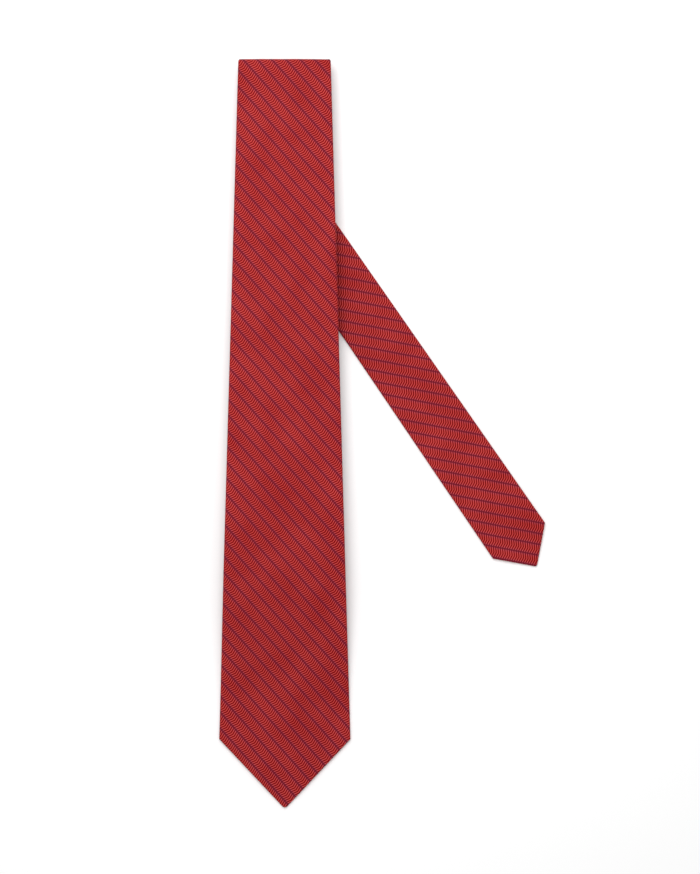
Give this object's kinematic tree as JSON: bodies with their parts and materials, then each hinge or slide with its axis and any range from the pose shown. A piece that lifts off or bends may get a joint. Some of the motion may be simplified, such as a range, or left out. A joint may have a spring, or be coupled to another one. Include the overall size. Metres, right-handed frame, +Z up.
{
  "type": "necktie",
  "caption": "Folded silk necktie with a pointed blade and a narrow tail fanned out from under it; red herringbone with thin dark diagonal stripes.",
  "frame": {"origin": "middle of the folded tie's bounding box, on the surface it lies on", "axes": "+Y along the blade from its tip to the top fold, +X towards the side on which the tail lies, +Z up out of the face of the tie"},
  "size_m": [0.211, 0.4835, 0.0144],
  "materials": {
    "striped_silk": "red herringbone silk twill with thin dark diagonal stripes, soft satin sheen",
    "tipping_satin": "plain dark red satin lining",
    "interlining_wool": "brushed off-white wool canvas",
    "sewing_thread": "twisted dark red silk thread",
    "label_tape": "plain woven tape with no lettering"
  },
  "bodies": {
    "tail_run": {"tail_shell": "striped_silk", "tail_tipping": "tipping_satin", "tail_interlining": "interlining_wool", "tail_slip_stitch": "sewing_thread", "tail_bar_tack": "sewing_thread"},
    "crossover_run": {"crossover_shell": "striped_silk", "crossover_interlining": "interlining_wool", "crossover_slip_stitch": "sewing_thread"},
    "lower_neck_run": {"rear_neck_shell": "striped_silk", "neck_tail_seam": "striped_silk", "upper_tail_shell": "striped_silk", "lower_neck_interlining": "interlining_wool", "lower_neck_slip_stitch": "sewing_thread"},
    "upper_neck_run": {"rear_blade_shell": "striped_silk", "blade_neck_seam": "striped_silk", "front_neck_shell": "striped_silk", "upper_neck_interlining": "interlining_wool", "upper_neck_slip_stitch": "sewing_thread"},
    "blade_run": {"blade_shell": "striped_silk", "blade_tipping": "tipping_satin", "blade_interlining": "interlining_wool", "blade_slip_stitch": "sewing_thread", "blade_bar_tack": "sewing_thread", "keeper_loop": "striped_silk", "keeper_tacks": "sewing_thread", "care_label": "label_tape"}
  },
  "joints": [
    {"name": "tail_fold", "type": "hinge", "parent": "tail_run", "child": "crossover_run", "pos_m": [-0.06302, 0.15175, 0.0027], "axis": [0.2964, -0.9551, 0], "range_deg": [0, 110]},
    {"name": "inner_fold", "type": "hinge", "parent": "crossover_run", "child": "lower_neck_run", "pos_m": [-0.06302, 0.23775, 0.0057], "axis": [-1, 0, 0], "range_deg": [0, 154]},
    {"name": "lower_fold", "type": "hinge", "parent": "lower_neck_run", "child": "upper_neck_run", "pos_m": [-0.06302, -0.0717, 0.0087], "axis": [1, 0, 0], "range_deg": [0, 175]},
    {"name": "top_fold", "type": "hinge", "parent": "upper_neck_run", "child": "blade_run", "pos_m": [-0.06302, 0.24175, 0.0117], "axis": [-1, 0, 0], "range_deg": [0, 175]}
  ],
  "couplings": [
    {"joint": "inner_fold", "follows": "tail_fold", "ratio": 1.4},
    {"joint": "lower_fold", "follows": "top_fold", "ratio": 1}
  ]
}
